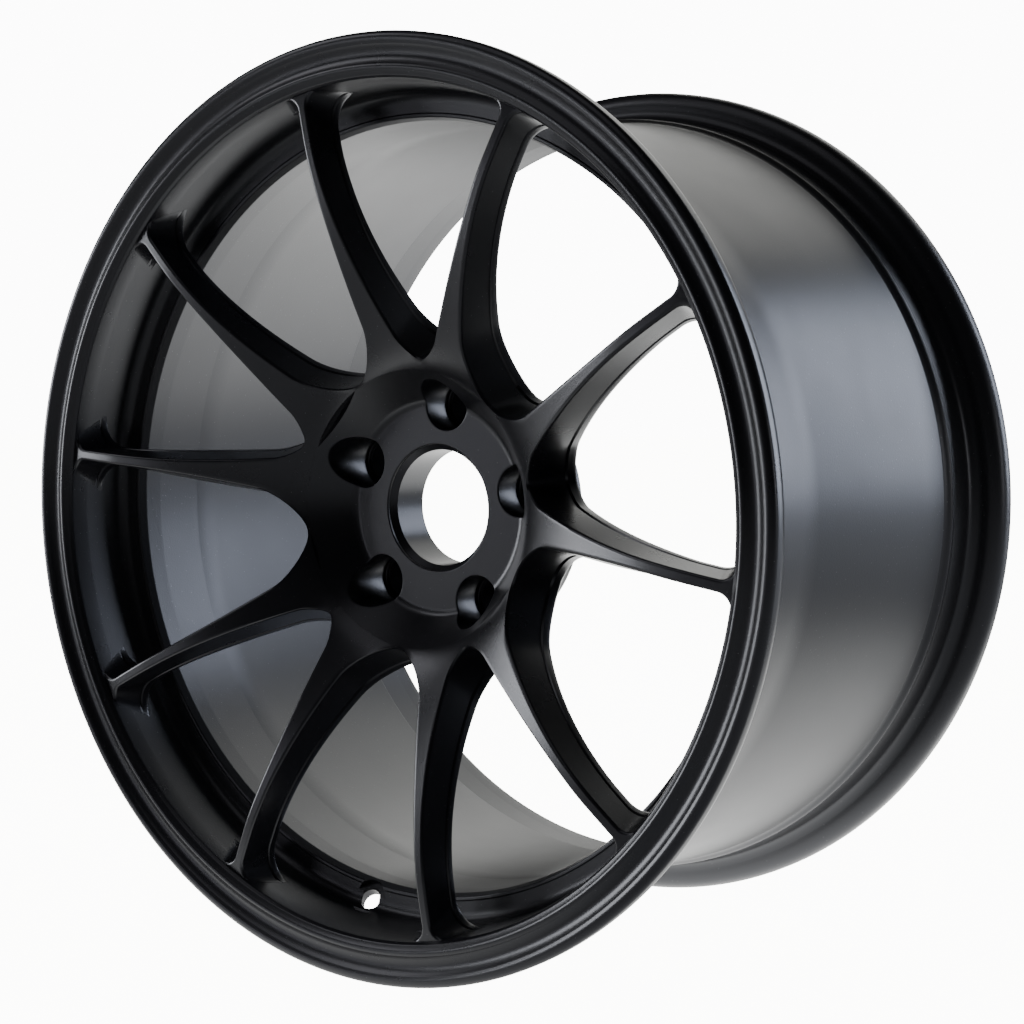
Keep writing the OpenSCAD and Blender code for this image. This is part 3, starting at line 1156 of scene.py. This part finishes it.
    def build(self) -> None:
        """Makes the ten spokes: the second of each pair is the first one mirrored."""
        r, t, h = self.spoke()
        rows, columns = r.shape
        faces = grid_faces(rows, columns, False, True)
        root = list(range(columns))
        rim = list(range((rows - 1) * columns, rows * columns))[::-1]
        for k in range(2 * PAIRS):
            middle = TURN + (k // 2) * PITCH
            name = f"spoke_{k + 1:02d}"
            if k % 2:
                points = stand(r, -t + middle, h).reshape(-1, 3)
                self.shop.piece(name, points, faces[:, ::-1], Slot.FACE, (root[::-1], rim[::-1]))
            else:
                points = stand(r, t + middle, h).reshape(-1, 3)
                self.shop.piece(name, points, faces, Slot.FACE, (root, rim))


@dataclass(frozen=True)
class Lamp:
    """A soft rectangular lamp that faces the middle of the wheel.

    Azimuth turns from the wheel's front toward +X and elevation rises from level, in degrees.
    Distance, width and height are in metres, and glow is the lamp's brightness beside a white
    surface of strength one.
    """

    name: str
    azimuth: float
    elevation: float
    distance: float
    width: float
    height: float
    glow: float
    colour: Colour

    def hang(self) -> None:
        """Hangs the lamp, out of the camera's sight."""
        way = direction(self.azimuth, self.elevation)
        data = bpy.data.lights.new(self.name, "AREA")
        data.shape = "RECTANGLE"
        data.size, data.size_y = self.width, self.height
        data.energy = math.pi * self.width * self.height * self.glow
        data.color = self.colour
        lamp = bpy.data.objects.new(self.name, data)
        lamp.location = way * self.distance
        lamp.rotation_euler = way.to_track_quat("Z", "Y").to_euler()
        lamp.visible_camera = False
        bpy.context.scene.collection.objects.link(lamp)


LAMPS = (
    Lamp("rear_left", -162, 18, 3.0, 2.0, 0.9, 2.2, (1.0, 1.0, 0.96)),
    Lamp("rear_high", -172, 40, 3.0, 2.2, 1.2, 1.7, (1.0, 1.0, 0.96)),
    Lamp("left_wall", -65, 4, 3.0, 1.5, 0.9, 9.0, (0.96, 0.97, 1.0)),
    Lamp("upper_left", -58, 38, 3.0, 1.2, 1.0, 2.4, (0.97, 0.96, 1.0)),
    Lamp("right_strip", 103, 7, 3.0, 0.6, 0.8, 3.0, (0.97, 0.96, 1.0)),
    Lamp("rear_right", 146, 17, 3.0, 0.75, 1.9, 8.5, (0.80, 0.86, 1.0)),
    Lamp("front_left", -32, 2, 3.0, 0.6, 1.0, 1.5, (0.93, 0.91, 1.0)),
    Lamp("top", -20, 62, 2.4, 1.6, 1.6, 0.5, (0.97, 0.95, 1.0)),
)


@dataclass
class Studio:
    """Camera, floor, surround and lamps.

    Floor and surround look white, and light the wheel much less than white ones would, so that
    the lamps and a pool of light painted on the floor as a glow shape it.
    """

    floor_z: float
    white: float = 12.0
    room: float = 0.02
    floor_reach: float = 12.0
    floor_colour: Colour = (0.85, 0.85, 0.85)
    floor_roughness: float = 0.9
    glow_colour: Colour = (1.0, 1.0, 0.97)
    pool: float = 3.0
    pool_place: tuple[float, float] = (-0.3, 0.5)
    pool_core: float = 0.45
    pool_edge: float = 0.85
    round_pool: float = 0.12
    place: tuple[float, float, float] = (0.68097, -0.88558, 0.06155)
    azimuth: float = 36.43
    elevation: float = 3.35
    lens: float = 69.74
    sensor: float = 36.0
    nearest: float = 0.01
    farthest: float = 50.0

    def camera(self) -> None:
        """The camera, level, with its back along the given azimuth and elevation."""
        back = direction(self.azimuth, self.elevation)
        right = Vector((0, 0, 1)).cross(back).normalized()
        up = back.cross(right)
        data = bpy.data.cameras.new("camera")
        data.lens, data.sensor_width = self.lens, self.sensor
        data.clip_start, data.clip_end = self.nearest, self.farthest
        made = bpy.data.objects.new("camera", data)
        made.matrix_world = Matrix.Translation(self.place) @ Matrix((right, up, back)).transposed().to_4x4()
        bpy.context.scene.collection.objects.link(made)
        bpy.context.scene.camera = made

    def floor_paint(self) -> bpy.types.Material:
        """The floor's material: a painted glow, a pool of light behind the wheel that lights the wheel
        though the floor is no lamp. The glow falls off with the distance from the middle of the pool,
        by a smooth step, and the floor looks white all over.

        Returns:
            The new material.
        """
        paint = bpy.data.materials.new("pale_floor")
        paint.use_nodes = True
        tree = paint.node_tree
        shader = tree.nodes["Principled BSDF"]
        shader.inputs["Base Color"].default_value = (*self.floor_colour, 1.0)
        shader.inputs["Roughness"].default_value = self.floor_roughness
        shader.inputs["Emission Color"].default_value = (*self.glow_colour, 1.0)
        place = add_node(tree, "ShaderNodeTexCoord", {})
        away = add_node(tree, "ShaderNodeVectorMath", {1: (*self.pool_place, self.floor_z)},
                        operation="DISTANCE")
        # painted light: the floor glows strongly in a pool behind the wheel and faintly round it, and lights
        # the wheel
        glow = add_node(tree, "ShaderNodeMapRange", {
            "From Min": self.pool_core, "From Max": self.pool_edge,
            "To Min": self.pool, "To Max": self.round_pool}, interpolation_type="SMOOTHSTEP")
        path = add_node(tree, "ShaderNodeLightPath", {})
        mix = add_node(tree, "ShaderNodeMix", {"B": self.white})
        tree.links.new(place.outputs["Object"], away.inputs[0])
        tree.links.new(away.outputs["Value"], glow.inputs["Value"])
        tree.links.new(path.outputs["Is Camera Ray"], mix.inputs["Factor"])
        tree.links.new(glow.outputs["Result"], mix.inputs["A"])
        tree.links.new(mix.outputs["Result"], shader.inputs["Emission Strength"])
        return paint

    def floor(self) -> None:
        """A wide plain floor just under the wheel."""
        far, z = self.floor_reach, self.floor_z
        corners = [(-far, -far, z), (far, -far, z), (far, far, z), (-far, far, z)]
        mesh = bpy.data.meshes.new("floor")
        mesh.from_pydata(corners, [], [(0, 1, 2, 3)])
        mesh.materials.append(self.floor_paint())
        made = bpy.data.objects.new("floor", mesh)
        bpy.context.scene.collection.objects.link(made)

    def surround(self) -> None:
        """A white backdrop round a dim room: what is seen directly is white, and what lights the
        wheel is dim."""
        world = bpy.data.worlds.new("surround")
        world.use_nodes = True
        tree = world.node_tree
        room = tree.nodes["Background"]
        room.inputs["Color"].default_value = (1.0, 1.0, 1.0, 1.0)
        room.inputs["Strength"].default_value = self.room
        pale = add_node(tree, "ShaderNodeBackground", {
            "Color": (1.0, 1.0, 1.0, 1.0), "Strength": self.white})
        path = add_node(tree, "ShaderNodeLightPath", {})
        mix = add_node(tree, "ShaderNodeMixShader", {})
        tree.links.new(path.outputs["Is Camera Ray"], mix.inputs["Fac"])
        tree.links.new(room.outputs["Background"], mix.inputs[1])
        tree.links.new(pale.outputs["Background"], mix.inputs[2])
        tree.links.new(mix.outputs["Shader"], tree.nodes["World Output"].inputs["Surface"])
        bpy.context.scene.world = world

    def build(self) -> None:
        """Sets up the camera, the floor, the surround and the lamps."""
        self.camera()
        self.floor()
        self.surround()
        for lamp in LAMPS:
            lamp.hang()


FINISHES = {
    Slot.FACE: Finish("satin_black_face", (0.007, 0.007, 0.009), roughness=0.28, grain=0.14, specks=0.25),
    Slot.BARREL: Finish("satin_black_barrel", (0.010, 0.010, 0.012), roughness=0.33, grain=0.18, specks=0.25),
    Slot.HUB: Finish("satin_black_hub", (0.008, 0.008, 0.010), roughness=0.30, grain=0.15, specks=0.2),
}


def main() -> None:
    """Builds the wheel round the frame, then the studio."""
    logging.basicConfig(level=logging.INFO, format="%(message)s")
    log.info("the frame holds %d nodes", len(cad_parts))
    low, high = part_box("front_flange")
    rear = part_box("rear_flange")[1]
    size = RimSizes(tip_r=high.z / MM, front_z=-low.y / MM, rear_z=-rear.y / MM)
    log.info("tip radius %.2f, heights %.2f to %.2f", size.tip_r, size.rear_z, size.front_z)
    shop = Workshop(FINISHES)
    hub = Hub(shop)
    Rim(size, shop).build()
    hub.build()
    Spokes(size, hub, shop).build()
    Studio(floor_z=low.z).build()


if __name__ == "__main__":
    main()
